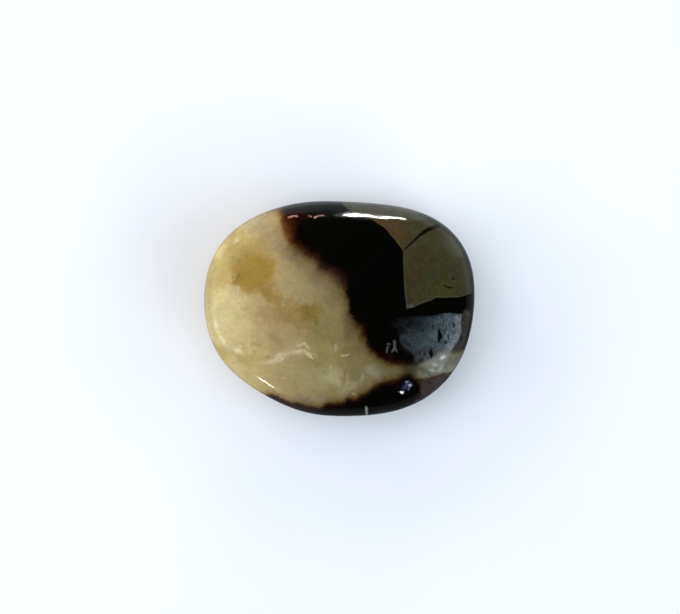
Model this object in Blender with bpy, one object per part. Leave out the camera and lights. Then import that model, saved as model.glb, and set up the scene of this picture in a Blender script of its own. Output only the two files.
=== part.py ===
"""Septarian pocket stone: one flat oval pebble, tumbled and polished, with ground flats and three pits.

Run with: blender --background --python part.py
The object stands on the XY plane, +X along its long axis, +Z up, at its real size.
"""

import math

import bmesh
import bpy
import numpy as np
from mathutils import Matrix, Vector
from mathutils.bvhtree import BVHTree

MM = 0.001

# Driving dimensions, in millimetres and degrees.
# The stone's plan: its radius every 22.5 degrees, counter-clockwise from +X. It is 38 long and 30 wide.
PLAN_RADII = (
    18.95, 19.55, 18.20, 15.85, 15.05, 15.95, 17.75, 19.15,
    18.95, 18.05, 16.30, 15.40, 15.10, 15.95, 17.55, 18.55,
)
RISE_ABOVE_WAIST = 7.0
DROP_BELOW_WAIST = 6.2
SHOULDER_POWER = 2.5  # 2 is an ellipse in section, and more is a flatter face with a tighter shoulder
LEAN = (-0.05, -0.10)  # how far each millimetre of height moves the section along X and Y
RESTING_FLAT_RISE = 0.12  # how much of the underside's lowest point the resting flat takes off

# Ground flats: the azimuth and the tilt from +Z that each one faces, and how deep it cuts.
GROUND_FLATS = (
    (-20, 15, 0.22),  # the shallow flat at the right front of the top face
    (100, 4, 0.16),  # the broad top face
    (214, 34, 0.22),  # the left front shoulder
    (232, 62, 0.30),  # the straight run of the left front rim
    (88, 47, 0.16),  # the back shoulder
    (-38, 66, 0.26),  # the right front rim
    (165, 40, 0.14),  # the left back shoulder
    (20, 150, 0.20),  # two on the underside
    (190, 158, 0.22),
)
FLAT_BLEND = 0.25  # the width over which a flat runs out into the round surface

# Pits in the top face: the place in plan, the length, width and depth, and the direction of the length.
PITS = (
    (13.9, -3.9, 2.1, 0.60, 0.22, 94),
    (13.0, -6.3, 1.5, 0.60, 0.20, 80),
    (9.4, -11.0, 1.9, 1.40, 0.34, 45),
)

GRID_CUTS = 22  # cuts along each edge of the starting cube
STONE_COLOUR = (0.46, 0.39, 0.20, 1.0)
STONE_ROUGHNESS = 0.12


def clear_scene():
    for obj in list(bpy.data.objects):
        bpy.data.objects.remove(obj)


def collection_named(name):
    made = bpy.data.collections.new(name)
    bpy.context.scene.collection.children.link(made)
    return made


def plan_radius(angles):
    """The radius of the plan at these angles: the smooth closed curve through PLAN_RADII."""
    count = len(PLAN_RADII)
    waves = np.fft.rfft(PLAN_RADII) / count
    waves[1:-1] *= 2
    turns = np.arange(len(waves))
    return (waves * np.exp(1j * np.outer(angles, turns))).real.sum(axis=1)


def pebble(directions):
    """The round pebble's surface points for these unit directions, in millimetres from its waist."""
    x, y, z = directions.T
    level = np.hypot(x, y)
    reach = (level**SHOULDER_POWER + np.abs(z) ** SHOULDER_POWER) ** (-1 / SHOULDER_POWER)
    angles = np.arctan2(y, x)
    radius = plan_radius(angles) * level * reach
    height = z * reach * np.where(z > 0, RISE_ABOVE_WAIST, DROP_BELOW_WAIST)
    return np.column_stack(
        (
            radius * np.cos(angles) + LEAN[0] * height,
            radius * np.sin(angles) + LEAN[1] * height,
            height,
        )
    )


def facing(azimuth, tilt):
    """The unit vector that faces this azimuth and this tilt from +Z, in degrees."""
    azimuth, tilt = math.radians(azimuth), math.radians(tilt)
    return np.array(
        (
            math.sin(tilt) * math.cos(azimuth),
            math.sin(tilt) * math.sin(azimuth),
            math.cos(tilt),
        )
    )


def ground(points):
    """The points with each ground flat cut into them, and with the resting flat at height 0."""
    for azimuth, tilt, depth in GROUND_FLATS:
        normal = facing(azimuth, tilt)
        along = points @ normal
        proud = along - (along.max() - depth)
        taken = (proud + np.sqrt(proud**2 + FLAT_BLEND**2)) / 2
        points = points - np.outer(taken, normal)
    floor = points[:, 2].min() + RESTING_FLAT_RISE
    points[:, 2] = np.maximum(points[:, 2], floor) - floor
    return points


def centred(points):
    """The points moved along X and Y so that the middle of their box is over the origin."""
    middle = (points.min(axis=0) + points.max(axis=0)) / 2
    return points - middle * (1, 1, 0)


def stone_mesh():
    """The pebble as a bmesh: a cube, cut into a grid and drawn out to the stone's surface."""
    bm = bmesh.new()
    bmesh.ops.create_cube(bm, size=2)
    bmesh.ops.subdivide_edges(bm, edges=bm.edges[:], cuts=GRID_CUTS, use_grid_fill=True)
    grid = np.tan(np.array([v.co for v in bm.verts]) * math.pi / 4)
    directions = grid / np.linalg.norm(grid, axis=1, keepdims=True)
    for vert, point in zip(bm.verts, centred(ground(pebble(directions)))):
        vert.co = Vector(point) * MM
    bmesh.ops.recalc_face_normals(bm, faces=bm.faces[:])
    return bm


def stone_material():
    material = bpy.data.materials.new("polished_septarian")
    material.use_nodes = True
    shader = material.node_tree.nodes["Principled BSDF"]
    shader.inputs["Base Color"].default_value = STONE_COLOUR
    shader.inputs["Roughness"].default_value = STONE_ROUGHNESS
    shader.inputs["Metallic"].default_value = 0.0
    return material


def pit_cutter(number, surface, pit, cutters):
    """An ellipsoid with its middle on the top face, so that its half height is the pit's depth."""
    x, y, length, width, depth, direction = pit
    point, normal, _, _ = surface.ray_cast(Vector((x * MM, y * MM, 1)), Vector((0, 0, -1)))
    across = normal.cross(Vector(facing(direction, 90))).normalized()
    along = across.cross(normal)
    bm = bmesh.new()
    bmesh.ops.create_uvsphere(bm, u_segments=20, v_segments=10, radius=0.5)
    mesh = bpy.data.meshes.new(f"pit_cutter_{number}")
    bm.to_mesh(mesh)
    bm.free()
    cutter = bpy.data.objects.new(mesh.name, mesh)
    cutters.objects.link(cutter)
    axes = Matrix((along, across, normal)).transposed().to_4x4()
    size = Matrix.Diagonal((length * MM, width * MM, 2 * depth * MM, 1))
    cutter.matrix_world = Matrix.Translation(point) @ axes @ size
    cutter.hide_render = True
    cutter.display_type = "WIRE"
    return cutter


def build():
    clear_scene()
    stones = collection_named("septarian_pocket_stone")
    cutters = collection_named("pit_cutters")

    bm = stone_mesh()
    surface = BVHTree.FromBMesh(bm)
    mesh = bpy.data.meshes.new("septarian_stone")
    bm.to_mesh(mesh)
    bm.free()
    mesh.shade_smooth()
    mesh.materials.append(stone_material())

    stone = bpy.data.objects.new("septarian_stone", mesh)
    stones.objects.link(stone)
    for number, pit in enumerate(PITS, start=1):
        cut = stone.modifiers.new(f"pit_{number}", "BOOLEAN")
        cut.operation = "DIFFERENCE"
        cut.object = pit_cutter(number, surface, pit, cutters)


build()
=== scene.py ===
import math

import bmesh
import bpy
import numpy as np
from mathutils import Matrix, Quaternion, Vector, noise


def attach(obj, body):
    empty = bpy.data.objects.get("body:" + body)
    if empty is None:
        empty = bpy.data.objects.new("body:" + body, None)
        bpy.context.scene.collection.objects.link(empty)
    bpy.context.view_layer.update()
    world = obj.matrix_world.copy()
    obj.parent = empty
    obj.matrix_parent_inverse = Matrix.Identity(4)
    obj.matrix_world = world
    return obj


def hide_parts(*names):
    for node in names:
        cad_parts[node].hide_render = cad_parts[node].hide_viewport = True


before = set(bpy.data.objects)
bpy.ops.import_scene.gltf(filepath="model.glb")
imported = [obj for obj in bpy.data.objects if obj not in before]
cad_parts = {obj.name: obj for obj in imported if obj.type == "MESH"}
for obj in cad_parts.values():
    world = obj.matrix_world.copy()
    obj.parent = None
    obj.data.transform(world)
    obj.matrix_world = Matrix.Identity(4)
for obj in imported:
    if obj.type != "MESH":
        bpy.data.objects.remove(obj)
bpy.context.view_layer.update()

# The stone: one flat oval pebble of septarian rock, worn round and polished by months in a tumbling barrel,
# which leaves broad flats with soft edges and opens a few small pits. It lies loose on its own resting flat.

# Sizes are in millimetres and degrees. The plan's radius is given every 22.5 degrees, from +X.
MM = 0.001
PLAN_RADII = (
    18.95, 19.55, 18.20, 15.85, 15.05, 15.95, 17.75, 19.15,
    18.95, 18.05, 16.30, 15.40, 15.10, 15.95, 17.55, 18.55,
)
RISE_ABOVE_WAIST = 7.0
DROP_BELOW_WAIST = 6.2
SHOULDER_POWER = 2.5  # 2 is an ellipse in section, and more is a flatter face with a tighter shoulder
LEAN = (-0.05, -0.10)  # how far each millimetre of height moves the section along X and Y
RESTING_FLAT_RISE = 0.12

GROUND_FLATS = (  # the azimuth and tilt that each one faces, and how deep it cuts
    (-20, 15, 0.22),
    (100, 4, 0.16),
    (214, 34, 0.22),
    (232, 62, 0.30),
    (88, 47, 0.16),
    (-38, 66, 0.26),
    (165, 40, 0.14),
    (20, 150, 0.20),
    (190, 158, 0.22),
)
FLAT_BLEND = 0.25

TOP_SIDE = 6.0  # pits and hollows are let in only above this height
PITS = (  # the place in plan, the length, width and depth, and the direction of the length
    (13.9, -3.9, 2.1, 0.60, 0.22, 94),
    (13.0, -6.3, 1.5, 0.60, 0.20, 80),
    (9.4, -11.0, 1.9, 1.40, 0.34, 45),
)
HOLLOWS = (  # faint ones along the back shoulder: the place, the reach along X and Y, and the depth
    (2.15, 11.32, 4.17, 1.09, 0.158),
    (5.27, 13.24, 1.83, 1.0, 0.081),
    (-4.7, 13.0, 2.47, 2.53, 0.096),
)
RIPPLE_DEPTH = 0.012
RIPPLES_PER_MM = 0.45
RIPPLE_START = 2.0  # the ripple dies out from this height down to the table
GRID_CUTS = 96
FINE_CUTS = 3
FINE_REACH = 1.4  # how far round each pit the grid is finer


def plan_radius(angles):
    """The smooth closed curve through PLAN_RADII."""
    waves = np.fft.rfft(PLAN_RADII) / len(PLAN_RADII)
    waves[1:-1] *= 2
    turns = np.arange(len(waves))
    return (waves * np.exp(1j * np.outer(angles, turns))).real.sum(axis=1)


def tumbled(directions):
    """The round pebble, in millimetres from its waist."""
    x, y, z = directions.T
    level = np.hypot(x, y)
    reach = (level**SHOULDER_POWER + np.abs(z) ** SHOULDER_POWER) ** (-1 / SHOULDER_POWER)
    angles = np.arctan2(y, x)
    radius = plan_radius(angles) * level * reach
    height = z * reach * np.where(z > 0, RISE_ABOVE_WAIST, DROP_BELOW_WAIST)
    return np.column_stack(
        (
            radius * np.cos(angles) + LEAN[0] * height,
            radius * np.sin(angles) + LEAN[1] * height,
            height,
        )
    )


def facing(azimuth, tilt):
    azimuth, tilt = math.radians(azimuth), math.radians(tilt)
    return np.array(
        (math.sin(tilt) * math.cos(azimuth), math.sin(tilt) * math.sin(azimuth), math.cos(tilt))
    )


def worn(points):
    """The pebble with its flats ground in, standing on its resting flat over the origin."""
    for azimuth, tilt, depth in GROUND_FLATS:
        normal = facing(azimuth, tilt)
        along = points @ normal
        proud = along - (along.max() - depth)
        points = points - np.outer((proud + np.sqrt(proud**2 + FLAT_BLEND**2)) / 2, normal)
    floor = points[:, 2].min() + RESTING_FLAT_RISE
    points[:, 2] = np.maximum(points[:, 2], floor) - floor
    middle = (points.min(axis=0) + points.max(axis=0)) / 2
    return points - middle * (1, 1, 0)


def surface_points(bm):
    """The stone's surface for the cube grid in bm."""
    grid = np.tan(np.array([v.co for v in bm.verts]) * math.pi / 4)
    return worn(tumbled(grid / np.linalg.norm(grid, axis=1, keepdims=True)))


def pitted(points, normals):
    """The points with the ripple, the hollows and the pits let in."""
    height = points[:, 2]
    ripple = np.array([noise.fractal(Vector(p) * RIPPLES_PER_MM, 0.6, 2.0, 3) for p in points])
    sunk = RIPPLE_DEPTH * np.clip(0.5 + ripple, 0, 1) * np.clip(height / RIPPLE_START, 0, 1)
    for x, y, length, width, depth in HOLLOWS:
        a, b = (points[:, 0] - x) / length, (points[:, 1] - y) / width
        sunk += depth * np.exp(-(a**2 + b**2) / 2) * np.clip(height - TOP_SIDE, 0, 1)
    for x, y, length, width, depth, direction in PITS:
        along = np.array(facing(direction, 90))[:2]
        offset = points[:, :2] - (x, y)
        a = offset @ along / (length / 2)
        b = offset @ (-along[1], along[0]) / (width / 2)
        inside = np.clip(1 - a**2 - b**2, 0, 1)
        inside[height < TOP_SIDE] = 0
        sunk += depth * np.sqrt(inside)
    return points - sunk[:, None] * normals


bm = bmesh.new()
bmesh.ops.create_cube(bm, size=2)
bmesh.ops.subdivide_edges(bm, edges=bm.edges[:], cuts=GRID_CUTS, use_grid_fill=True)
coarse = surface_points(bm)
near_pit = np.zeros(len(coarse), bool)
for pit in PITS:
    near_pit |= (np.hypot(*(coarse[:, :2] - pit[:2]).T) < FINE_REACH) & (coarse[:, 2] > TOP_SIDE)
bm.verts.ensure_lookup_table()
edges = {e for v in bm.verts if near_pit[v.index] for f in v.link_faces for e in f.edges}
bmesh.ops.subdivide_edges(bm, edges=list(edges), cuts=FINE_CUTS, use_grid_fill=True)
for vert, point in zip(bm.verts, surface_points(bm)):
    vert.co = point
bmesh.ops.recalc_face_normals(bm, faces=bm.faces[:])
bm.normal_update()
smooth = np.array([v.co for v in bm.verts])
normals = np.array([v.normal for v in bm.verts])
for vert, point in zip(bm.verts, pitted(smooth, normals)):
    vert.co = Vector(point) * MM
stone_mesh = bpy.data.meshes.new("septarian_pebble")
bm.to_mesh(stone_mesh)
bm.free()
stone_mesh.shade_smooth()
stone = bpy.data.objects.new("septarian_pebble", stone_mesh)
bpy.context.scene.collection.objects.link(stone)

# its minerals are pale calcite that filled the cracks of a limestone nodule, the black-brown aragonite
# that lined them first, and the limestone itself, all cut across and polished together
material = bpy.data.materials.new("polished_septarian")
material.use_nodes = True
nodes, links = material.node_tree.nodes, material.node_tree.links
polish = nodes["Principled BSDF"]


def node(kind, inputs, **settings):
    """A shader node with these settings and inputs. An input is a value or another node's output."""
    made = nodes.new(kind)
    for name, value in settings.items():
        setattr(made, name, value)
    for socket, given in inputs.items():
        if isinstance(given, bpy.types.NodeSocket):
            links.new(given, made.inputs[socket])
        else:
            made.inputs[socket].default_value = given
    return made


def maths(operation, *values):
    return node("ShaderNodeMath", dict(enumerate(values)), operation=operation).outputs[0]


def plus(*values):
    total = values[0]
    for value in values[1:]:
        total = maths("ADD", total, value)
    return total


def times(*values):
    total = values[0]
    for value in values[1:]:
        total = maths("MULTIPLY", total, value)
    return total


def less(a, b):
    return maths("SUBTRACT", a, b)


def straight(value, start, end, low=0.0, high=1.0):
    """Goes straight from low to high as value goes from start to end, and stays there."""
    slope = (high - low) / (end - start)
    value = maths("MULTIPLY_ADD", value, slope, low - slope * start)
    return maths("MINIMUM", maths("MAXIMUM", value, min(low, high)), max(low, high))


def from_to(value, start, end, low=0.0, high=1.0):
    """The same, but with a smooth start and end."""
    if start > end:
        start, end, low, high = end, start, high, low
    return node(
        "ShaderNodeMapRange",
        {"Value": value, "From Min": start, "From Max": end, "To Min": low, "To Max": high},
        interpolation_type="SMOOTHSTEP",
        clamp=False,
    ).outputs["Result"]


def vector(x, y, z=0.0):
    return node("ShaderNodeCombineXYZ", {0: x, 1: y, 2: z}).outputs[0]


def grain(size, detail=2.0, place=None, roughness=0.5, seed=0.0, output="Fac"):
    """Noise with lumps of this size in millimetres, round 0.5."""
    moved = node("ShaderNodeMapping", {0: place or rock, 1: (seed * 13.1, seed * 7.7, seed * 3.3)})
    return node(
        "ShaderNodeTexNoise",
        {"Vector": moved.outputs[0], "Scale": 1 / size, "Detail": detail, "Roughness": roughness},
    ).outputs[output]


def turned(place, turn, length, width):
    """This place seen from a grid that is turned by this much and has cells of this length and width."""
    return node(
        "ShaderNodeMapping",
        {"Vector": place, "Rotation": (0, 0, math.radians(turn)), "Scale": (length, width, 1)},
        vector_type="TEXTURE",
    ).outputs[0]


def wobble(size, reach, detail=2.0, seed=0.0):
    """Noise from about -reach to reach."""
    return times(less(grain(size, detail, seed=seed), 0.5), 2.5 * reach)


def traced(along, points):
    """The curve through these (along, across) points, in millimetres."""
    start, end = points[0][0], points[-1][0]
    low, high = min(p[1] for p in points), max(p[1] for p in points)
    part_way = maths("MULTIPLY_ADD", along, 1 / (end - start), start / (start - end))
    curve = node("ShaderNodeFloatCurve", {"Value": part_way})
    curve.mapping.extend = "HORIZONTAL"
    knots = curve.mapping.curves[0].points
    for _ in points[2:]:
        knots.new(0.5, 0.5)
    for knot, (a, b) in zip(knots, points):
        knot.location = ((a - start) / (end - start), (b - low) / (high - low))
        knot.handle_type = "AUTO"
    curve.mapping.update()
    return maths("MULTIPLY_ADD", curve.outputs[0], high - low, low)


def cloud(x, y, length, width, turn=0, *, bed):
    """A soft patch on this bed: 1 at its middle and 0 outside its oval."""
    oval = node(
        "ShaderNodeMapping",
        {
            "Vector": bed,
            "Location": (x, y, 0),
            "Rotation": (0, 0, math.radians(turn)),
            "Scale": (length / 2, width / 2, 1000),
        },
        vector_type="TEXTURE",
    ).outputs[0]
    return node("ShaderNodeTexGradient", {"Vector": oval}, gradient_type="SPHERICAL").outputs["Fac"]


def mixed(share, first, second, how="MIX"):
    made = node("ShaderNodeMix", {}, data_type="RGBA", blend_type=how)
    for socket, given in ((made.inputs[0], share), (made.inputs[6], first), (made.inputs[7], second)):
        if isinstance(given, bpy.types.NodeSocket):
            links.new(given, socket)
        else:
            socket.default_value = given if socket.type != "RGBA" else (*given, 1)
    return made.outputs[2]


def shades(value, *stops):
    """A colour ramp through these (position, colour) stops."""
    ramp = node("ShaderNodeValToRGB", {"Fac": value})
    elements = ramp.color_ramp.elements
    while len(elements) < len(stops):
        elements.new(0.5)
    for element, (position, colour) in zip(elements, stops):
        element.position = position
        element.color = (*colour, 1)
    return ramp.outputs[0]


WAIST_HEIGHT = 6.2
MINERAL_DIP = (0.5, -0.35)  # below the waist the veins run this far sideways per millimetre

in_millimetres = node(
    "ShaderNodeMapping",
    {"Vector": node("ShaderNodeTexCoord", {}).outputs["Object"], "Scale": (1000, 1000, 1000)},
).outputs[0]
east, north, height = node("ShaderNodeSeparateXYZ", {0: in_millimetres}).outputs
rock = vector(east, north, height)
below = maths("MAXIMUM", less(WAIST_HEIGHT, height), 0.0)
bed_x = plus(east, times(below, MINERAL_DIP[0]))
bed_y = plus(north, times(below, MINERAL_DIP[1]))
bed = vector(bed_x, bed_y)


def strayed(lumps, reach, seed):
    """The bed, with every place on it moved by up to about half this reach."""
    way = node(
        "ShaderNodeSeparateColor",
        {0: grain(lumps, 4.0, in_millimetres, seed=seed, roughness=0.6, output="Color")},
    ).outputs
    return vector(
        plus(bed_x, times(less(way[0], 0.5), reach)), plus(bed_y, times(less(way[1], 0.5), reach))
    )


drifted = strayed(2.4, 4.2, 1)
crumbled = strayed(0.55, 0.9, 60)
x, y, _ = node("ShaderNodeSeparateXYZ", {0: bed}).outputs


def bounded(value):
    return maths("MINIMUM", value, 1.0)


def stained(colour, stain):
    return mixed(1.0, colour, stain, "MULTIPLY")


def partly_stained(colour, share, stain):
    """The colour, stained where share is 1 and clear where it is 0."""
    return stained(colour, mixed(share, (1.0, 1.0, 1.0), stain))


def scaled(colour, amount):
    grey = node("ShaderNodeCombineColor", {0: amount, 1: amount, 2: amount}).outputs[0]
    return stained(colour, grey)


def seam(along, across, points, half_width, fade, edge, wander=None):
    """A thin line through these (along, across) points, 1 at its middle.

    It fades out over this length at both ends, and over this share of its width at its edges.
    """
    side = less(across, traced(along, points))
    if wander:
        side = plus(side, wander)
    return times(
        from_to(maths("ABSOLUTE", side), half_width * (1 + edge), half_width * (1 - edge)),
        from_to(along, points[0][0], points[0][0] + fade),
        from_to(along, points[-1][0], points[-1][0] - fade),
    )


def streak(direction, points, half_width, fade, edge, wander=None):
    """A seam that runs along x or along y."""
    return seam(direction, y if direction is x else x, points, half_width, fade, edge, wander)


def spread(place, strength=1.0, small=False):
    """A cloud whose middle is full once strength is over 1, and whose edge is soft."""
    return from_to(cloud(*place, bed=crumbled if small else drifted), 0.0, 1 / strength)


def clouded(colour, clouds):
    """The colour with these clouds over it, each a place, a strength and its own colour."""
    for place, strength, cloud_colour in clouds:
        colour = mixed(spread(place, strength), colour, cloud_colour)
    return colour


def spotted(colour, spots):
    """The same with small spots, which have crumbled edges and are never quite full."""
    for place, strength, spot_colour in spots:
        colour = mixed(times(spread(place, strength, True), 0.85), colour, spot_colour)
    return colour


def leaf(along, across, near, far, soft):
    """1 between two curves that start and end together, and 0 outside them."""
    inside = maths("MINIMUM", less(across, traced(along, near)), less(traced(along, far), across))
    return from_to(inside, 0.0, soft)


# where the calcite ends and the aragonite begins: the places along and across a line from the back left
# to the front right, and how far in from there the aragonite takes to turn black
LINE_START, LINE_WAY = (-7.87, 14.01), (0.776, -0.631)
CALCITE_EDGE = (
    (-6.0, -1.6), (-1.6, -1.2), (-0.5, -0.75), (0.3, -0.9), (1.0, -1.6), (1.75, -2.0), (2.5, -2.5),
    (3.25, -2.8), (4.0, -3.15), (4.75, -2.97), (5.5, -3.05), (7.0, -3.35), (7.75, -3.05), (8.5, -3.15),
    (9.25, -3.5), (10.0, -3.45), (10.75, -3.22), (12.25, -3.2), (13.0, -3.35), (13.75, -3.5), (14.5, -4.05),
    (15.25, -4.45), (16.0, -5.25), (16.75, -5.82), (17.5, -6.02), (18.25, -6.32), (19.0, -6.37),
    (19.75, -6.85), (20.5, -7.1), (21.25, -7.58), (22.75, -7.82), (24.25, -7.75), (25.0, -7.58),
    (25.75, -7.2), (26.5, -6.75), (28.36, -5.0), (30.71, -1.98), (32.17, 0.65),
)
STAIN_WIDTH = (
    (-6.0, 1.6), (-0.5, 1.4), (0.3, 1.0), (1.0, 1.4), (1.75, 1.8), (2.5, 1.9), (3.25, 1.3), (4.0, 1.0),
    (4.75, 0.7), (5.5, 0.7), (6.25, 0.95), (9.25, 0.95), (12.25, 1.2), (13.0, 1.1), (13.75, 0.8),
    (15.25, 0.4), (17.5, 0.45), (18.25, 0.55), (19.75, 0.75), (20.5, 0.4), (25.0, 0.5), (26.5, 0.7),
    (32.17, 0.6),
)
# the limestone's left side, its foot and the top of the lower vein
LIMESTONE_SIDE = (
    (-16.0, 9.6), (-1.0, 9.36), (0.6, 9.25), (2.4, 9.05), (4.8, 8.95), (7.2, 8.87), (7.9, 8.87), (8.4, 8.6),
    (9.0, 8.12), (9.6, 7.7), (10.2, 7.15), (10.8, 6.72), (11.4, 6.1), (12.0, 5.15), (12.6, 4.25), (13.2, 2.5),
    (13.8, 1.35), (14.4, 0.65), (15.0, 0.2),
)
LIMESTONE_FOOT = (
    (9.0, -0.2), (9.7, 0.03), (10.3, 0.15), (10.9, 0.45), (11.5, 0.7), (12.7, 1.06), (13.3, 1.37),
    (13.9, 1.48), (15.1, 1.5), (16.9, 1.6), (17.5, 1.78), (18.1, 2.0), (19.0, 2.2),
)
LOWER_VEIN = (
    (-12.5, -12.6), (-11.0, -12.3), (-10.0, -12.05), (-9.3, -12.12), (-8.6, -12.34), (-7.9, -12.68),
    (-7.2, -12.97), (-6.5, -13.16), (-5.1, -13.37), (-4.4, -13.58), (-3.0, -13.77), (-2.3, -13.57),
    (-1.6, -13.2), (0.5, -13.06), (1.2, -12.5), (1.9, -12.53), (2.6, -12.26), (3.3, -11.87), (4.0, -11.56),
    (4.7, -10.86), (5.4, -10.5), (6.1, -10.1), (7.5, -9.9), (8.2, -9.65), (8.9, -9.35), (9.55, -9.13),
    (10.5, -9.6), (11.9, -9.75), (13.1, -9.45), (13.8, -9.2), (14.5, -9.05), (15.4, -9.0), (16.2, -8.9),
    (17.5, -8.4),
)
ragged = plus(wobble(1.5, 0.12, seed=2), wobble(0.6, 0.26, seed=3), wobble(0.28, 0.24, seed=8))
along = plus(times(less(x, LINE_START[0]), LINE_WAY[0]), times(less(y, LINE_START[1]), LINE_WAY[1]))
across = less(times(less(y, LINE_START[1]), LINE_WAY[0]), times(less(x, LINE_START[0]), LINE_WAY[1]))
past_calcite = plus(less(across, traced(along, CALCITE_EDGE)), ragged)
right_of_side = plus(less(x, traced(y, LIMESTONE_SIDE)), wobble(0.8, 0.05, seed=4))
above_foot = plus(less(y, traced(x, LIMESTONE_FOOT)), wobble(0.8, 0.08, seed=9))
in_limestone = maths("MINIMUM", right_of_side, above_foot)
in_lower_vein = plus(less(traced(x, LOWER_VEIN), y), times(ragged, 0.7))

# calcite: milky yellow at the left, clearer and greener to the right, with clouds of iron stain
calcite = shades(
    plus(straight(x, -18.5, 5.5), wobble(2.4, 0.03, 3.0, seed=5)),
    (0.0, (0.60, 0.505, 0.240)),
    (0.17, (0.545, 0.440, 0.200)),
    (0.31, (0.425, 0.325, 0.136)),
    (0.46, (0.330, 0.250, 0.104)),
    (0.60, (0.262, 0.203, 0.080)),
    (0.77, (0.190, 0.150, 0.057)),
    (1.0, (0.160, 0.127, 0.051)),
)
CALCITE_CLOUDS = (
    ((-15.8, 6.0, 5.4, 11.0, -25), 1.3, (0.44, 0.335, 0.112)),  # honey, at the back left
    ((-14.6, 9.6, 5.4, 5.4, 40), 1.3, (0.38, 0.290, 0.105)),
    ((-11.2, 12.0, 7.0, 5.0, 25), 1.2, (0.29, 0.230, 0.115)),
    ((-12.4, 12.6, 5.4, 2.6, 36), 1.4, (0.37, 0.300, 0.160)),
    ((-9.0, 9.4, 6.0, 6.4), 1.4, (0.295, 0.220, 0.102)),
    ((-13.0, -6.9, 8.6, 4.4, -25), 1.1, (0.41, 0.318, 0.122)),
    ((-16.8, -6.2, 4.0, 3.4, -50), 1.2, (0.42, 0.330, 0.112)),
    ((-9.8, -1.0, 8.0, 5.6, -20), 1.3, (0.39, 0.262, 0.108)),  # peach
    ((-12.8, 2.9, 6.4, 4.4, -15), 1.1, (0.36, 0.250, 0.086)),
    ((-12.0, 5.6, 8.4, 8.6, 0), 1.7, (0.318, 0.212, 0.062)),  # amber
    ((-11.7, 4.8, 7.0, 5.8, 10), 1.8, (0.290, 0.178, 0.035)),
    ((-14.3, 4.3, 1.8, 1.8, 0), 1.2, (0.27, 0.170, 0.040)),
    ((-12.1, 8.8, 5.4, 3.2, 10), 1.0, (0.34, 0.240, 0.074)),
    ((-9.6, 1.7, 3.4, 6.2, 35), 1.5, (0.272, 0.178, 0.047)),
    ((-9.4, -1.0, 6.0, 5.0, -30), 1.0, (0.325, 0.222, 0.092)),
    ((-6.9, -0.6, 6.4, 4.6, -30), 1.4, (0.265, 0.178, 0.058)),
    ((-5.2, -2.0, 6.4, 4.4, 0), 1.2, (0.240, 0.170, 0.053)),
    ((-8.2, -4.3, 4.4, 5.0), 1.0, (0.290, 0.215, 0.088)),
    ((-4.2, -0.2, 4.6, 3.8), 1.3, (0.188, 0.124, 0.027)),  # a rusty knot
    ((-3.7, -1.7, 1.1, 2.8, -8), 1.0, (0.150, 0.100, 0.020)),
    ((-6.9, 7.6, 6.0, 3.8, -40), 1.3, (0.235, 0.175, 0.080)),
    ((-6.2, 8.2, 3.2, 2.2, -40), 1.1, (0.185, 0.135, 0.058)),
    ((-2.4, 4.4, 9.0, 7.0, -40), 1.0, (0.240, 0.190, 0.082)),
    ((-2.2, -2.6, 6.0, 6.0), 1.1, (0.190, 0.155, 0.052)),
    ((-2.4, -7.0, 9.0, 7.0), 1.2, (0.225, 0.188, 0.063)),  # clear and green
    ((-3.4, -9.6, 12.0, 5.0, -5), 1.2, (0.275, 0.230, 0.094)),
    ((-0.6, 1.6, 3.2, 4.8, -39), 1.1, (0.170, 0.135, 0.052)),
    ((1.4, -3.2, 2.8, 4.6, -39), 1.3, (0.125, 0.096, 0.034)),
    ((3.0, -3.9, 2.6, 4.0, 20), 1.1, (0.120, 0.082, 0.027)),
    ((1.9, -6.0, 4.0, 4.0), 0.9, (0.145, 0.108, 0.038)),
    ((-4.2, -12.9, 8.0, 2.6, 6), 1.2, (0.205, 0.163, 0.086)),
    ((-1.2, -9.8, 4.2, 3.2), 1.0, (0.31, 0.258, 0.118)),  # milky
    ((1.4, -10.8, 5.0, 3.0, 10), 0.9, (0.26, 0.222, 0.108)),
    ((4.9, -8.8, 4.6, 2.6, -20), 1.3, (0.215, 0.185, 0.112)),
    ((10.4, -8.5, 5.6, 2.8, 5), 1.6, (0.070, 0.066, 0.036)),
    ((6.2, -8.6, 2.2, 1.6, 5), 0.9, (0.17, 0.150, 0.085)),
)
calcite = clouded(calcite, CALCITE_CLOUDS)
curd = plus(
    1.06,
    wobble(1.9, 0.12, 3.0, seed=6),
    wobble(0.75, 0.14, 3.0, seed=21),
    wobble(0.3, 0.15, 2.0, seed=22),
)
calcite = scaled(calcite, curd)
blush = from_to(grain(0.9, 4.0, seed=23, roughness=0.65), 0.35, 0.65)
calcite = stained(calcite, mixed(blush, (0.975, 1.005, 0.95), (1.03, 0.99, 1.05)))
# painted shade: the calcite is darkened low on its left rim, and in a faint level band between 8.2 and 9.7 mm
# up on the left side
painted_shade_rim = times(spread((-19.0, 3.4, 5.0, 13.0, -8), 2.0), from_to(height, 9.8, 8.4))
calcite = scaled(calcite, from_to(painted_shade_rim, 0, 1, 1.0, 0.78))
painted_shade_band = spread((-18.0, -1.6, 5.0, 9.0, 5), 2.0)
painted_shade_band = times(painted_shade_band, from_to(height, 9.7, 9.2), from_to(height, 8.2, 8.8))
calcite = scaled(calcite, from_to(painted_shade_band, 0, 1, 1.0, 0.84))
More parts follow.
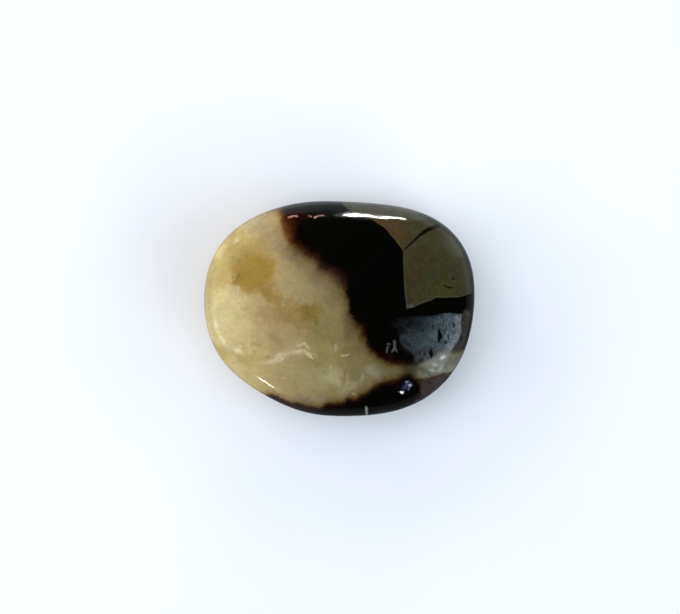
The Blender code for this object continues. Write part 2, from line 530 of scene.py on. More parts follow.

# a feathery fracture inside the calcite, seen as a white veil, and the small cracks and flakes round it, with
# painted highlights among the flakes along the left rim
VEIL_FOOT = (
    (-11.5, -7.35), (-10.0, -7.9), (-9.0, -7.75), (-8.1, -7.5), (-7.3, -6.85), (-5.5, -6.5), (-4.8, -6.75),
    (-3.6, -7.3),
)
VEIL_TOP = (
    (-11.5, -7.34), (-10.0, -7.05), (-9.1, -6.45), (-8.3, -5.95), (-6.9, -5.7), (-5.5, -5.4), (-4.9, -5.5),
    (-3.6, -7.29),
)
WISP_FOOT = ((-6.9, -5.45), (-5.6, -5.4), (-5.1, -5.3), (-4.6, -5.5), (-4.1, -5.9))
WISP_TOP = ((-6.9, -5.44), (-5.6, -4.65), (-5.0, -4.4), (-4.6, -4.6), (-4.1, -5.89))
VEIL_HAZE = (
    ((-12.0, -8.1), (-9.0, -8.3), (-6.0, -7.3), (-3.0, -7.4)),
    ((-12.0, -8.0), (-9.0, -5.9), (-6.0, -4.4), (-3.0, -7.2)),
)
feathers = grain(0.5, 5.0, turned(bed, 18, 1.25, 0.6), seed=10, roughness=0.7)
veil_y = plus(y, wobble(1.1, 0.30, 3.0, seed=25), wobble(0.35, 0.34, 3.0, seed=52))
haze = times(leaf(x, veil_y, *VEIL_HAZE, 1.0), from_to(feathers, 0.32, 0.66, 0.0, 0.5))
calcite = mixed(haze, calcite, (0.45, 0.365, 0.18))
veil = plus(leaf(x, veil_y, VEIL_FOOT, VEIL_TOP, 0.55), leaf(x, veil_y, WISP_FOOT, WISP_TOP, 0.5))
veil = times(bounded(veil), from_to(feathers, 0.34, 0.60, 0.30, 1.0))
calcite = mixed(veil, calcite, (0.54, 0.445, 0.25))
for direction, points, half_width, strength in (
    (x, ((0.0, -6.35), (0.5, -6.6), (1.0, -6.5), (1.5, -6.2)), 0.13, 0.45),
    (y, ((-6.1, -0.55), (-5.4, -0.5), (-4.8, -0.4)), 0.17, 0.40),
    (x, ((-8.3, -9.7), (-7.9, -9.75), (-7.4, -9.6)), 0.16, 0.4),
    (x, ((-9.6, -10.8), (-8.7, -11.4), (-7.8, -11.8)), 0.26, 0.25),
    (x, ((1.6, -11.7), (2.1, -12.0), (2.5, -11.8)), 0.18, 0.5),
    (y, ((-9.6, -1.5), (-8.6, -1.2), (-7.6, -1.4)), 0.16, 0.22),
    (y, ((-10.8, 0.9), (-9.8, 1.1), (-8.8, 0.9)), 0.16, 0.22),
    (y, ((-11.2, -0.2), (-10.4, 0.0), (-9.7, -0.3)), 0.14, 0.2),
):
    wander = plus(wobble(0.5, 0.18, seed=26), wobble(0.2, 0.12, seed=53))
    mark = streak(direction, points, half_width, 0.3, 0.95, wander)
    calcite = mixed(times(mark, strength), calcite, (0.52, 0.44, 0.26))
for points, half_width, strength in (
    (((-12.6, -5.2), (-12.0, -4.95), (-11.4, -5.05), (-10.8, -5.4)), 0.26, 0.24),
    (((-10.5, -6.95), (-10.0, -6.75), (-9.5, -6.8)), 0.20, 0.35),
    (((-14.6, 4.0), (-14.2, 4.5), (-13.7, 4.9)), 0.30, 0.5),
    (((-4.9, -0.1), (-4.6, 0.1), (-4.2, -0.2)), 0.14, 0.5),
):
    crevice = streak(x, points, half_width, 0.4, 0.9, wobble(0.4, 0.12, seed=27))
    calcite = mixed(times(crevice, strength), calcite, (0.12, 0.078, 0.022))
# the bright spots along the left rim and their pale haze are painted highlights, glints where the shoulder
# catches a light; the spots further in are pale flakes
CALCITE_FLAKES_AND_GLINTS = (
    ((-17.0, -2.8, 2.0, 4.0, 10), 0.55, (0.64, 0.56, 0.29)),  # first the pale haze round the bright glints, which are painted highlights
    ((-15.4, -5.2, 4.6, 2.0, -35), 0.55, (0.60, 0.51, 0.26)),
    ((-14.3, 9.6, 3.2, 1.6, 48), 0.5, (0.56, 0.47, 0.23)),
    ((-14.3, 2.6, 2.0, 2.8, 10), 0.6, (0.52, 0.42, 0.21)),
    ((-17.3, -2.3, 1.0, 2.0, 5), 0.9, (0.82, 0.74, 0.45)),
    ((-17.0, -3.3, 0.7, 0.9, 0), 0.9, (0.74, 0.66, 0.38)),
    ((-16.7, -4.0, 0.7, 1.0, 25), 0.9, (0.78, 0.70, 0.40)),
    ((-16.3, -4.5, 1.0, 1.9, 30), 0.9, (0.80, 0.72, 0.42)),
    ((-15.7, -5.2, 0.8, 0.7, 0), 0.8, (0.66, 0.58, 0.32)),
    ((-14.1, -5.9, 2.3, 1.4, -30), 0.95, (0.74, 0.66, 0.38)),
    ((-13.9, -5.3, 0.8, 0.8, 0), 0.9, (0.70, 0.61, 0.33)),
    ((-14.5, 9.5, 1.5, 0.45, 50), 1.0, (0.60, 0.52, 0.28)),
    ((-14.2, 2.8, 0.8, 1.4, 10), 1.0, (0.60, 0.50, 0.27)),
    ((-17.6, 0.6, 0.9, 2.4, 0), 0.7, (0.64, 0.55, 0.28)),
    ((-15.9, -1.7, 0.9, 0.9, 0), 0.6, (0.60, 0.51, 0.27)),
    ((-12.2, -0.7, 1.5, 1.1, 0), 0.8, (0.44, 0.34, 0.16)),
    ((-11.0, -1.6, 1.8, 1.3, 0), 0.9, (0.44, 0.35, 0.19)),
    ((-10.2, -3.0, 1.2, 0.9, 0), 0.7, (0.40, 0.31, 0.16)),
    ((-1.9, 2.2, 1.4, 1.2, 0), 1.0, (0.245, 0.205, 0.098)),
    ((-5.2, 0.9, 1.4, 1.4, 0), 1.0, (0.30, 0.24, 0.12)),
    ((-5.6, 2.0, 1.0, 1.2, 0), 0.8, (0.29, 0.235, 0.11)),
    ((-6.9, -9.8, 1.6, 1.2, 30), 0.8, (0.32, 0.27, 0.13)),
    ((0.3, -9.0, 0.9, 2.6, 15), 0.9, (0.29, 0.245, 0.12)),
    ((3.2, -9.6, 0.9, 2.2, -20), 0.9, (0.27, 0.235, 0.13)),
)
calcite = spotted(calcite, CALCITE_FLAKES_AND_GLINTS)


# aragonite: a brown stain over the calcite where it is thin, black where it is thick
def stain(depth, width):
    """What the stain lets through: depth is in millimetres, and width is how far it takes to turn black."""
    thin = maths("MINIMUM", depth, 0.0)
    thick = maths("DIVIDE", maths("MAXIMUM", depth, 0.0), width)
    return shades(
        straight(plus(thin, thick), -2.2, 1.8),
        (0.0, (1.0, 1.0, 1.0)),
        (0.10, (0.96, 0.955, 0.95)),
        (0.25, (0.87, 0.84, 0.82)),
        (0.33, (0.79, 0.745, 0.71)),
        (0.41, (0.69, 0.63, 0.57)),
        (0.475, (0.56, 0.47, 0.40)),
        (0.55, (0.36, 0.26, 0.20)),
        (0.64, (0.18, 0.105, 0.077)),
        (0.71, (0.095, 0.047, 0.036)),
        (0.80, (0.055, 0.022, 0.019)),
        (0.89, (0.023, 0.010, 0.011)),
        (1.0, (0.006, 0.0072, 0.0095)),
    )


stone_colour = stained(calcite, stain(past_calcite, traced(along, STAIN_WIDTH)))

# beside the line the calcite is duller, and then cooler, and the stain is rusty, violet or ruby in places
duller = times(from_to(past_calcite, -3.4, -1.2), from_to(along, 3.4, 5.4), from_to(along, 14.6, 12.4))
stone_colour = partly_stained(stone_colour, duller, (0.80, 0.80, 0.82))
cooler = times(from_to(past_calcite, -1.4, -0.6), from_to(along, 14.2, 15.4), from_to(along, 17.6, 16.6))
stone_colour = partly_stained(stone_colour, cooler, (0.80, 0.92, 0.96))
rusty = times(spread((-6.6, 11.2, 5.6, 8.4, 12), 2.0), from_to(past_calcite, -0.6, 0.1))
stone_colour = partly_stained(stone_colour, rusty, (0.88, 0.62, 0.42))
violet = times(spread((-0.9, 4.6, 3.8, 6.4, 35), 1.4), from_to(past_calcite, -0.3, 0.5))
stone_colour = partly_stained(stone_colour, violet, (1.2, 1.3, 2.2))
ruby = times(spread((6.8, -6.9, 3.6, 2.0, -20), 1.2), from_to(past_calcite, -0.2, 0.3))
ruby = times(ruby, from_to(past_calcite, 1.8, 0.8), 0.7)
stone_colour = mixed(ruby, stone_colour, (0.013, 0.0026, 0.0014))

# the lower vein turns black at once at the left, and is a little browner there
thin_left = from_to(x, -6.0, 3.0, 2.0, 1.3)
stone_colour = stained(stone_colour, stain(times(in_lower_vein, thin_left), 0.7))
brown = times(from_to(in_lower_vein, -0.1, 0.35), from_to(x, -1.5, -6.0))
stone_colour = mixed(times(brown, 0.75), stone_colour, (0.026, 0.0135, 0.0095))

# the lower vein is maroon where it thins out at the right, and has one white hair of calcite across it
maroon = spread((14.2, -10.2, 9.4, 4.8, 38), 2.4)
maroon_patches = plus(1.0, wobble(0.5, 0.5, seed=28), wobble(1.4, 0.5, seed=29))
maroon_colour = scaled((0.044, 0.0265, 0.0215), maroon_patches)
stone_colour = mixed(times(maroon, from_to(in_lower_vein, -0.2, 0.4)), stone_colour, maroon_colour)
HAIR = ((-16.5, 3.95), (-14.4, 3.80), (-13.9, 3.76), (-13.5, 3.70))
hair = streak(y, HAIR, 0.16, 0.5, 0.7, wobble(0.6, 0.06, seed=30))
stone_colour = mixed(times(hair, 0.7), stone_colour, (0.30, 0.28, 0.24))

# pink flecks lie in the thin red stain at the back, only above the waist: painted highlights, the broken
# reddish end of the back window's reflection along the shoulder
upper_half = from_to(height, 5.6, 6.4)
for points, half_width in (
    (((-7.4, 12.72), (-6.9, 12.84), (-6.4, 12.95), (-5.7, 12.9)), 0.11),
    (((-4.5, 12.98), (-4.1, 12.92), (-3.8, 12.8)), 0.09),
    (((-3.7, 12.72), (-3.3, 12.82), (-2.9, 12.95)), 0.12),
    (((-3.0, 12.98), (-2.5, 13.0), (-2.0, 12.98)), 0.09),
):
    wander = plus(wobble(0.35, 0.14, seed=31), wobble(0.18, 0.10, seed=54))
    pink_painted_highlight = streak(x, points, half_width, 0.25, 0.9, wander)
    pink_painted_highlight = times(pink_painted_highlight, from_to(grain(0.3, 2.0, seed=55), 0.3, 0.6, 0.35, 1.0), upper_half)
    stone_colour = mixed(pink_painted_highlight, stone_colour, (0.50, 0.25, 0.18))
# painted glow: a faint red light painted into the stain round the broken highlight
glow = times(spread((-5.4, 13.15, 5.4, 1.3, 0), 1.4), from_to(past_calcite, -0.2, 0.2))
stone_colour = mixed(times(glow, 0.5), stone_colour, (0.016, 0.0022, 0.0012))

# a patch of the aragonite is dulled by fine pits and painted a smoky blue-grey, partly a smoky tone of the
# stone and partly a painted reflection of the cool window, which also shows there as a real reflection
PATCH_TOP = (
    (6.0, -1.5), (7.4, -1.3), (9.8, -1.1), (12.9, -0.97), (14.0, -0.70), (15.0, -0.55), (16.1, -0.62),
    (17.3, -0.72),
)
PATCH_RIGHT = (
    (-8.4, 13.4), (-6.9, 14.9), (-6.06, 15.5), (-5.23, 16.1), (-4.4, 16.62), (-3.55, 16.95),
    (-2.7, 17.05), (-1.9, 17.0), (-0.6, 17.2),
)
PATCH_LEFT = (
    (-7.6, 10.5), (-6.6, 10.2), (-6.0, 9.9), (-5.4, 9.0), (-4.6, 8.35), (-3.8, 8.35), (-3.2, 8.1),
    (-2.4, 7.2), (-1.0, 6.8),
)
from_top = less(traced(x, PATCH_TOP), y)
from_right = less(traced(y, PATCH_RIGHT), x)
from_left = less(x, traced(y, PATCH_LEFT))
smoke_and_reflection = times(
    from_to(plus(from_top, wobble(0.6, 0.14, seed=12), wobble(0.25, 0.10, seed=56)), -0.06, 0.30),
    from_to(plus(from_right, wobble(0.6, 0.14, seed=13)), -0.22, 0.06),
    from_to(plus(from_left, wobble(0.8, 0.3, seed=14)), -0.2, 0.4),
)
columns = grain(0.5, 2.0, turned(bed, 0, 0.62, 2.5), seed=18)
mottle = plus(
    straight(x, 8.0, 17.0, 0.58, 0.88),
    from_to(x, 8.4, 7.2, 0.0, -0.24),
    times(spread((9.2, -1.7, 10.0, 4.0, -6), 1.3), -0.28),
    times(spread((8.6, -3.0, 2.6, 1.3, -15), 1.6, True), -0.30),
    times(spread((10.9, -4.2, 4.0, 3.0), 1.2), 0.07),
    times(spread((13.2, -3.8, 1.4, 2.0), 1.2, True), 0.13),
    times(spread((15.4, -4.2, 2.8, 3.6, 15), 1.3), 0.12),
    times(spread((16.5, -1.0, 2.2, 1.4, 0), 1.4), -0.12),
    times(from_to(from_top, 0.9, 0.1), from_to(x, 15.6, 13.6), -0.12),
    times(from_to(from_right, 1.3, 0.2), 0.08),
    times(from_to(y, -4.6, -6.6), from_to(x, 12.0, 15.0), 0.11),
    wobble(1.3, 0.07, 3.0, seed=15),
    wobble(0.45, 0.12, seed=16),
    wobble(0.22, 0.10, seed=35),
    times(less(columns, 0.5), 0.25),
)
depth_of_smoke_and_reflection = shades(
    mottle,
    (0.0, (0.0010, 0.0010, 0.0010)),
    (0.30, (0.0045, 0.0045, 0.0045)),
    (0.45, (0.010, 0.010, 0.010)),
    (0.59, (0.020, 0.020, 0.020)),
    (0.73, (0.040, 0.040, 0.040)),
    (0.86, (0.080, 0.080, 0.080)),
    (1.0, (0.160, 0.160, 0.160)),
)
tint = mixed(spread((12.2, -3.6, 7.0, 9.0, 0), 1.5), (0.90, 1.0, 1.08), (0.70, 1.0, 1.02))
tint = mixed(from_to(from_right, 1.6, 0.4), tint, (0.95, 1.0, 1.05))
tint = mixed(from_to(y, -5.0, -6.8), tint, (0.98, 1.0, 0.90))
smoky_painted_reflection = stained(depth_of_smoke_and_reflection, tint)
# dark specks: pits that take none of the painted reflection
for place in (
    (13.07, -2.54, 0.62, 0.62, 45), (11.64, -3.18, 0.5, 0.6), (15.96, -2.35, 0.4, 1.1, 8),
    (16.1, -3.5, 0.3, 0.6), (9.55, -2.26, 1.0, 0.5, -10), (8.99, -1.88, 0.5, 0.4),
    (8.61, -3.37, 0.9, 0.6, 30), (9.2, -4.5, 0.6, 0.4), (9.5, -4.95, 0.9, 0.4, -5),
    (11.36, -7.2, 1.0, 0.5, 35), (11.8, -6.3, 0.4, 0.8, 10), (11.1, -6.2, 0.7, 0.3),
    (14.9, -4.75, 0.5, 1.0, 35), (15.2, -4.0, 0.35, 0.9, 5), (14.5, -2.0, 0.4, 0.4),
    (12.3, -1.9, 0.4, 0.35),
):
    smoky_painted_reflection = mixed(times(spread(place, 1.8, True), 0.8), smoky_painted_reflection, (0.003, 0.0045, 0.0055))
PALE_ARC = ((14.1, -4.7), (14.5, -4.15), (14.9, -4.1), (15.3, -4.6), (15.5, -5.2))
pale_arc = streak(x, PALE_ARC, 0.10, 0.2, 0.9)
smoky_painted_reflection = mixed(times(pale_arc, 0.7), smoky_painted_reflection, (0.11, 0.12, 0.115))
smoke_and_reflection_share = times(
    smoke_and_reflection,
    from_to(past_calcite, -0.2, 0.6),
    from_to(in_limestone, 0.0, -0.1),
    from_to(in_lower_vein, 0.2, -0.3),
)
stone_colour = mixed(smoke_and_reflection_share, stone_colour, smoky_painted_reflection)
# painted highlights: small pale marks where chips in the polish catch the light, above the waist
for direction, points, half_width in (
    (y, ((-6.3, 6.62), (-5.9, 6.6), (-5.5, 6.7), (-5.1, 6.9)), 0.11),
    (x, ((6.5, -5.0), (6.8, -4.95), (7.2, -5.1)), 0.10),
    (y, ((-5.8, 7.72), (-5.1, 7.7), (-4.3, 7.62)), 0.17),
    (y, ((-6.2, 7.25), (-5.8, 7.5), (-5.4, 7.68)), 0.16),
    (x, ((7.65, -5.5), (7.9, -5.8), (8.2, -6.15)), 0.18),
):
    mark = streak(direction, points, half_width, 0.25, 0.9, wobble(0.4, 0.09, seed=36))
    stone_colour = mixed(times(mark, upper_half, 0.8), stone_colour, (0.080, 0.080, 0.070))

# outside the patch the aragonite's edge is thin and brown, with a paler painted reflection of the paper along
# the steep rim, and the calcite below it is chalky
# the strip is partly brown stone and partly a painted reflection of the paper on the steep rim
strip = times(
    from_to(plus(from_right, wobble(0.7, 0.16, seed=38)), 0.10, -0.22),
    from_to(plus(y, wobble(0.9, 0.4, seed=39)), 0.1, -0.7),
    from_to(y, -6.8, -6.0),
    from_to(plus(height, wobble(0.7, 0.3, seed=57)), 7.9, 8.5),
)
strip_patches = from_to(grain(0.9, 2.0, seed=40), 0.4, 0.6)
strip_colour = mixed(strip_patches, (0.026, 0.023, 0.015), (0.031, 0.023, 0.018))
strip_colour = scaled(strip_colour, plus(1.05, wobble(1.1, 0.7, seed=41), wobble(0.4, 0.5, seed=42)))
strip_colour = mixed(spread((17.9, -0.5, 1.1, 1.2), 1.0, True), strip_colour, (0.050, 0.052, 0.040))
strip_colour = mixed(spread((17.0, -4.2, 0.9, 1.2, -20), 1.3, True), strip_colour, (0.006, 0.006, 0.005))
stone_colour = mixed(times(strip, from_to(in_limestone, 0.0, -0.2)), stone_colour, strip_colour)
CHALK_TOP = (
    (9.0, -8.8), (10.2, -8.3), (11.0, -7.9), (11.8, -7.5), (12.6, -7.1), (13.4, -6.6), (14.2, -6.15),
    (15.0, -6.0), (15.8, -6.1), (16.4, -6.2), (17.2, -6.2),
)
above_chalk = less(y, traced(x, CHALK_TOP))
chalk_share = times(
    from_to(plus(above_chalk, wobble(0.9, 0.3, seed=43), wobble(0.35, 0.2, seed=44)), 0.45, -0.5),
    from_to(plus(in_lower_vein, wobble(0.7, 0.15, seed=45)), 0.25, -0.35),
    from_to(plus(x, wobble(0.8, 0.4, seed=51)), 10.2, 12.2),
)
chalk = mixed(from_to(x, 14.4, 15.8), (0.185, 0.176, 0.136), (0.128, 0.118, 0.080))
chalk = mixed(from_to(y, -7.2, -8.6), chalk, (0.175, 0.162, 0.118))
chalk_patches = plus(
    1.0, wobble(1.4, 0.25, 3.0, seed=46), wobble(0.5, 0.25, 3.0, seed=47), wobble(0.22, 0.16, seed=48)
)
chalk = scaled(chalk, chalk_patches)
chalk = mixed(spread((11.9, -8.8, 2.6, 2.4, 10), 1.2), chalk, (0.085, 0.085, 0.058))
# the second and brightest spot is a painted highlight on a small chip
CHALK_SPOTS = (
    ((14.5, -6.8, 2.8, 1.9, 35), 0.9, (0.235, 0.22, 0.195)),
    ((14.45, -6.85, 1.3, 0.6, 25), 1.2, (0.55, 0.54, 0.50)),
    ((15.1, -6.3, 1.2, 1.5, 0), 0.7, (0.20, 0.185, 0.17)),
    ((13.3, -7.8, 1.8, 0.9, -15), 1.1, (0.31, 0.31, 0.26)),
    ((14.2, -8.3, 1.0, 2.2, -25), 1.0, (0.28, 0.285, 0.24)),
    ((12.7, -8.5, 1.6, 1.2, 10), 0.9, (0.25, 0.25, 0.20)),
    ((14.9, -8.2, 1.2, 1.0, 0), 1.0, (0.125, 0.115, 0.09)),
    ((13.4, -8.9, 0.8, 1.0, 0), 0.9, (0.10, 0.10, 0.075)),
)
chalk = spotted(chalk, CHALK_SPOTS)
# painted highlights: two pale marks where small chips catch the light
for points in (
    ((12.9, -7.7), (13.3, -7.85), (13.7, -7.9)),
    ((12.4, -8.9), (12.9, -8.6), (13.5, -8.75), (14.1, -8.5), (14.6, -7.8)),
):
    mark = streak(x, points, 0.10, 0.4, 0.95, wobble(0.4, 0.22, seed=49))
    chalk = mixed(times(mark, 0.5), chalk, (0.36, 0.36, 0.31))
stone_colour = mixed(chalk_share, stone_colour, chalk)

# limestone: dull grey-brown mud rock, olive and tan in places, with a paler skin along its edges, a painted
# sheen along its right rim and painted shade lower down that side
limestone = mixed(
    from_to(grain(2.0, 4.0, seed=7), 0.40, 0.60), (0.0345, 0.0275, 0.0112), (0.0355, 0.0330, 0.0150)
)
LIMESTONE_CLOUDS = (
    ((6.8, 10.6, 6.4, 6.4), 1.8, (0.050, 0.0315, 0.0118)),  # tan
    ((9.9, 7.9, 2.6, 2.0), 1.0, (0.040, 0.030, 0.0155)),
    ((10.6, 4.0, 3.8, 7.6), 1.2, (0.0365, 0.0270, 0.0105)),
    ((14.6, 3.6, 4.0, 6.0), 1.1, (0.0325, 0.0305, 0.0085)),
    ((14.2, 2.4, 5.4, 2.2, 5), 1.1, (0.039, 0.0370, 0.0115)),
    ((16.0, 8.8, 3.4, 5.6, 30), 1.3, (0.0500, 0.0480, 0.0300)),  # paler along the right rim: a painted sheen
    ((17.6, 4.0, 2.4, 6.0, 8), 1.2, (0.0430, 0.0360, 0.0220)),
)
limestone = clouded(limestone, LIMESTONE_CLOUDS)
mud = plus(
    1.08, wobble(1.1, 0.22, 3.0, seed=32), wobble(0.45, 0.28, 2.0, seed=33), wobble(0.2, 0.26, seed=34)
)
limestone = scaled(limestone, mud)
warmth = from_to(grain(0.6, 3.0, seed=58, roughness=0.6), 0.36, 0.64)
limestone = stained(limestone, mixed(warmth, (0.93, 1.02, 0.88), (1.08, 0.98, 1.12)))
back_band = from_to(plus(north, times(east, 0.14)), 13.6, 14.4)
streaks = grain(0.5, 3.0, turned(bed, 0, 0.6, 2.2), seed=59)
band_patches = from_to(grain(0.8, 3.0, seed=61), 0.38, 0.62)
band_colour = mixed(band_patches, (0.050, 0.055, 0.036), (0.062, 0.056, 0.044))
band_mud = plus(0.5, streaks, wobble(0.6, 0.25, seed=50), wobble(0.25, 0.22, seed=62))
band_colour = scaled(band_colour, band_mud)
limestone = mixed(times(back_band, 0.85), limestone, band_colour)
skin = times(from_to(in_limestone, 0.0, 0.08), from_to(in_limestone, 0.30, 0.12))
skin = times(skin, from_to(x, 7.2, 8.8), from_to(grain(0.8, 3.0, seed=64), 0.38, 0.62, 0.12, 0.62))
limestone = mixed(skin, limestone, (0.055, 0.052, 0.042))
limestone = mixed(spread((9.9, 0.35, 1.4, 0.8, 10), 1.5, True), limestone, (0.066, 0.064, 0.054))
for place in ((15.4, 2.95, 0.85, 0.5, 0), (14.8, 3.1, 0.9, 0.28, -15), (15.95, 4.2, 0.45, 0.5)):
    limestone = mixed(spread(place, 1.8, True), limestone, (0.008, 0.006, 0.002))
CRACK = (
    (8.9, 8.2), (9.4, 8.57), (10.66, 9.69), (11.54, 10.52), (12.47, 11.05), (13.2, 11.35), (13.9, 11.65),
    (14.4, 11.8),
)
crack_width = from_to(x, 9.4, 12.0, 0.75, 1.45)
crack_side = plus(less(y, traced(x, CRACK)), wobble(0.6, 0.09, seed=11), wobble(0.25, 0.07, seed=63))
crack_side = maths("DIVIDE", crack_side, crack_width)
crack = seam(x, plus(crack_side, traced(x, CRACK)), CRACK, 0.21, 0.3, 0.6)
limestone = mixed(crack, limestone, (0.0045, 0.0022, 0.0015))
# painted shade: the limestone is darkened in a level band between 5 and 8.4 mm up along its right side
painted_shade_edge = times(from_to(height, 8.4, 7.9), from_to(height, 5.0, 6.2), from_to(x, 10.0, 13.0))
limestone = scaled(limestone, from_to(painted_shade_edge, 0, 1, 1.0, 0.3))
stone_colour = mixed(from_to(in_limestone, -0.03, 0.07), stone_colour, limestone)

# the slots and the round pit are painted dark inside as painted shade, and the pit holds a few lilac crystals
# whose light colour is partly a painted reflection, with a painted white glint beside them
LONG_SLOT = (
    ((-4.87, 13.80), (-4.4, 13.72), (-3.2, 13.72), (-2.75, 13.90)),
    ((-4.87, 13.86), (-4.4, 14.10), (-3.9, 14.45), (-3.4, 14.20), (-2.75, 13.92)),
)
SHORT_SLOT = (
    ((-7.05, 12.86), (-6.6, 12.66), (-6.13, 12.43), (-5.8, 12.55), (-5.3, 12.75)),
    ((-7.05, 12.90), (-6.75, 13.03), (-6.2, 13.08), (-5.8, 12.96), (-5.3, 12.77)),
)
for near, far in (LONG_SLOT, SHORT_SLOT):
    painted_shade_hole = leaf(y, plus(x, wobble(0.5, 0.06, seed=37)), near, far, 0.07)
    stone_colour = mixed(painted_shade_hole, stone_colour, (0.0012, 0.0025, 0.0035))
vug_x, vug_y = PITS[2][:2]
# painted shade in the round pit
round_pit_shade = spread((vug_x - 0.2, vug_y + 0.1, 3.2, 2.4, 45), 3.0, True)
stone_colour = mixed(round_pit_shade, stone_colour, (0.0025, 0.002, 0.003))
facets = node("ShaderNodeTexVoronoi", {"Vector": bed, "Scale": 3.2}).outputs["Color"]
facet_shade = straight(node("ShaderNodeSeparateColor", {0: facets}).outputs[0], 0, 1, 0.35, 1.25)
# the crystals' colours are partly a painted reflection of the light
for place, colour in (
    ((9.06, -11.1, 0.9, 0.7, 20), (0.045, 0.045, 0.080)),
    ((9.70, -11.25, 0.7, 0.5, 60), (0.10, 0.10, 0.17)),
    ((9.60, -10.6, 1.0, 1.1, -20), (0.065, 0.07, 0.10)),
    ((9.40, -10.35, 0.4, 0.4, 0), (0.18, 0.19, 0.26)),
    ((9.85, -10.7, 0.55, 0.45, 0), (0.46, 0.48, 0.58)),
):
    crystal_and_reflection = spread(place, 2.2, True)
    stone_colour = mixed(crystal_and_reflection, stone_colour, scaled(colour, facet_shade))
# painted highlight: a white glint beside the crystals
stone_colour = mixed(spread((8.66, -11.68, 0.85, 0.42, 15), 2.2, True), stone_colour, (0.92, 0.92, 0.94))

# the polish is high everywhere but in the smoky patch, and light goes a little way into the stone
POLISHED, DULLED = 0.08, 0.30
links.new(stone_colour, polish.inputs["Base Color"])
dull = times(smoke_and_reflection_share, from_to(grain(0.8, 3.0, seed=17), 0.3, 0.7, 0.4, 1.0))
links.new(straight(dull, 0, 1, POLISHED, DULLED), polish.inputs["Roughness"])
for socket, value in (
    ("IOR", 1.5),
    ("Specular IOR Level", 0.25),
    ("Subsurface Weight", 0.15),
    ("Subsurface Radius", (1.0, 0.7, 0.35)),
    ("Subsurface Scale", 1.0 * MM),
):
    polish.inputs[socket].default_value = value
stone_mesh.materials.append(material)
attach(stone, "root")
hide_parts("septarian_stone")

# The table: one large sheet of bright white paper with a faint sheen, laid flat, on which the stone lies
# loose. The polished stone mirrors it duller than it is, and dimmest far off and in front.

PAPER_SIDE = 3.0
PAPER_WHITE = 0.90
NEAR, FAR = (0.08, 0.34), (0.16, 0.03)  # how far off, in metres, and how bright in the mirror
FRONT, BACK = (-0.005, 0.4), (0.022, 1.4)  # the place along Y, and its share of that brightness
paper_mesh = bpy.data.meshes.new("paper")
half = PAPER_SIDE / 2
paper_mesh.from_pydata(
    [(-half, -half, 0), (half, -half, 0), (half, half, 0), (-half, half, 0)], [], [(0, 1, 2, 3)]
)
paper = bpy.data.objects.new("paper", paper_mesh)
paper.location.z = -0.02 * MM  # just clear of the resting flat
bpy.context.scene.collection.objects.link(paper)
white = bpy.data.materials.new("white_paper")
white.use_nodes = True
nodes, links = white.node_tree.nodes, white.node_tree.links
sheen = nodes["Principled BSDF"]
sheen.inputs["Roughness"].default_value = 0.7
sheen.inputs["Specular IOR Level"].default_value = 0.2


def ramped(value, first, last):
    """Goes straight from one (value, result) pair to the other, and stays there."""
    limits = {"From Min": first[0], "From Max": last[0], "To Min": first[1], "To Max": last[1]}
    return node("ShaderNodeMapRange", {"Value": value, **limits}).outputs["Result"]


reflected = node("ShaderNodeLightPath", {}).outputs["Is Glossy Ray"]
on_paper = node("ShaderNodeTexCoord", {}).outputs["Object"]
how_far = node("ShaderNodeVectorMath", {0: on_paper}, operation="LENGTH").outputs["Value"]
how_far_back = node("ShaderNodeSeparateXYZ", {0: on_paper}).outputs["Y"]
mirrored = times(ramped(how_far, NEAR, FAR), ramped(how_far_back, FRONT, BACK))
tone = node("ShaderNodeMix", {"Factor": reflected, "A": PAPER_WHITE, "B": mirrored}).outputs["Result"]
links.new(tone, sheen.inputs["Base Color"])
paper_mesh.materials.append(white)

# The light: soft white panels all round a white room, a low bright window behind, another at the front
# left and a cool one high on the right. They stand clear of the table and aren't seen themselves.


def soft_box(name, azimuth, elevation, distance, width, height, watts, colour, glossy=True, roll=0):
    """A flat lamp that faces the stone from this direction. One that isn't glossy shows in no reflection."""
    lamp = bpy.data.lights.new(name, "AREA")
    lamp.shape = "RECTANGLE"
    lamp.size, lamp.size_y = width, height
    lamp.energy = watts
    lamp.color = colour
    box = bpy.data.objects.new(name, lamp)
    way = Vector(facing(azimuth, 90 - elevation))
    box.location = way * distance
    box.rotation_mode = "QUATERNION"
    box.rotation_quaternion = way.to_track_quat("Z", "Y") @ Quaternion((0, 0, 1), math.radians(roll))
    box.visible_camera = False
    box.visible_glossy = glossy
    bpy.context.scene.collection.objects.link(box)


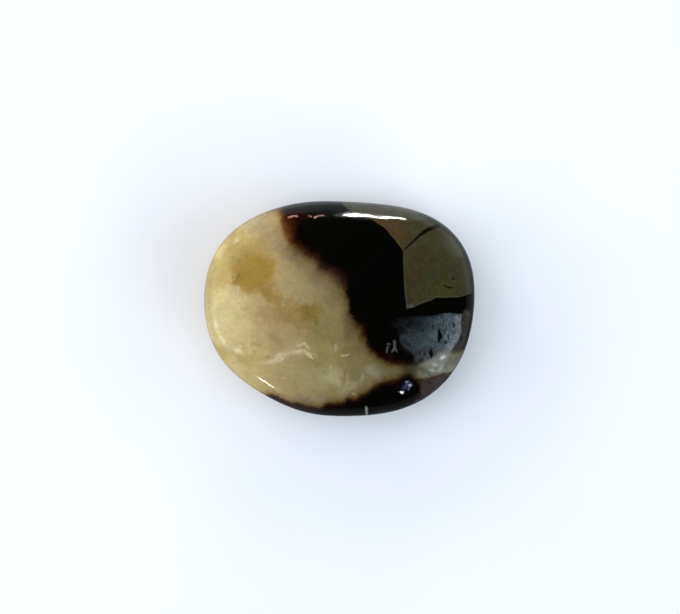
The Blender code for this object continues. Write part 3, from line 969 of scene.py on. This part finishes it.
# each has its direction in degrees, its distance, width and height in metres, and its power in watts
soft_box("back_window", 81.6, 2.0, 1.2, 0.237, 0.078, 6.2, (1.0, 0.99, 0.97))
soft_box("front_left_window", -125.2, 4.6, 1.2, 0.209, 0.088, 2.9, (1.0, 0.99, 0.97), roll=64)
soft_box("cool_window", -21, 50, 1.0, 0.06, 0.44, 0.065, (0.78, 0.84, 1.0))
soft_box("cool_fill", -26, 45, 1.0, 0.7, 0.5, 2.3, (0.78, 0.84, 1.0), glossy=False)
for name, *panel in (
    ("high_left", 180, 50, 0.6, 0.45, 0.40, 0.68, (0.88, 0.92, 1.0)),
    ("top_left", 180, 72, 0.4, 0.30, 0.30, 0.24, (0.91, 0.93, 1.0)),
    ("top_back", 90, 72, 0.4, 0.30, 0.30, 0.23, (0.80, 0.87, 1.0)),
    ("low_right", 0, 22, 0.8, 0.45, 0.30, 1.88, (0.74, 0.89, 1.0)),
    ("low_back_right", 45, 22, 0.8, 0.45, 0.30, 0.65, (0.84, 1.0, 0.85)),
    ("low_back", 90, 22, 0.8, 0.45, 0.30, 1.25, (1.0, 0.92, 0.92)),
    ("low_back_left", 135, 22, 0.8, 0.45, 0.30, 1.87, (0.95, 0.92, 1.0)),
    ("low_left", 180, 22, 0.8, 0.45, 0.30, 1.91, (0.94, 0.95, 1.0)),
    ("low_front_right", 315, 22, 0.8, 0.45, 0.30, 2.12, (0.76, 0.86, 1.0)),
):
    soft_box(name, *panel, glossy=False)

# the room lights the stone faintly from all round, is dark in reflections, and is pale behind the table
room = bpy.data.worlds.new("room")
room.use_nodes = True
bpy.context.scene.world = room
nodes, links = room.node_tree.nodes, room.node_tree.links
walls = nodes["Background"]
walls.inputs["Color"].default_value = (0.74, 0.89, 1.0, 1)
walls.inputs["Strength"].default_value = 0.19
seen_by = node("ShaderNodeLightPath", {})
lit = walls.outputs[0]
for kind, colour in (("Is Glossy Ray", (0.02, 0.02, 0.022)), ("Is Camera Ray", (0.86, 0.92, 0.97))):
    other = node("ShaderNodeBackground", {"Color": (*colour, 1)}).outputs[0]
    lit = node("ShaderNodeMixShader", {0: seen_by.outputs[kind], 1: lit, 2: other}).outputs[0]
links.new(lit, nodes["World Output"].inputs["Surface"])

# The camera: one with a long lens, held straight above the middle of the stone and looking down, so that
# the stone is seen in plan. The stone takes 270 of the frame's 680 pixels.

CAMERA_HEIGHT = 0.7  # above the stone's outline
OUTLINE_HEIGHT = 0.006
CAMERA_PLACE = (0.00007, 0.00021)
STONE_LENGTH, STONE_PIXELS, FRAME_PIXELS = 0.0380, 270, 680
FRAME_WIDTH = FRAME_PIXELS * STONE_LENGTH / STONE_PIXELS
lens = bpy.data.cameras.new("camera")
lens.sensor_width = 36
lens.lens = lens.sensor_width * CAMERA_HEIGHT / FRAME_WIDTH
camera = bpy.data.objects.new("camera", lens)
camera.location = (*CAMERA_PLACE, CAMERA_HEIGHT + OUTLINE_HEIGHT)
bpy.context.scene.collection.objects.link(camera)
bpy.context.scene.camera = camera
bpy.context.scene.view_settings.view_transform = "Standard"
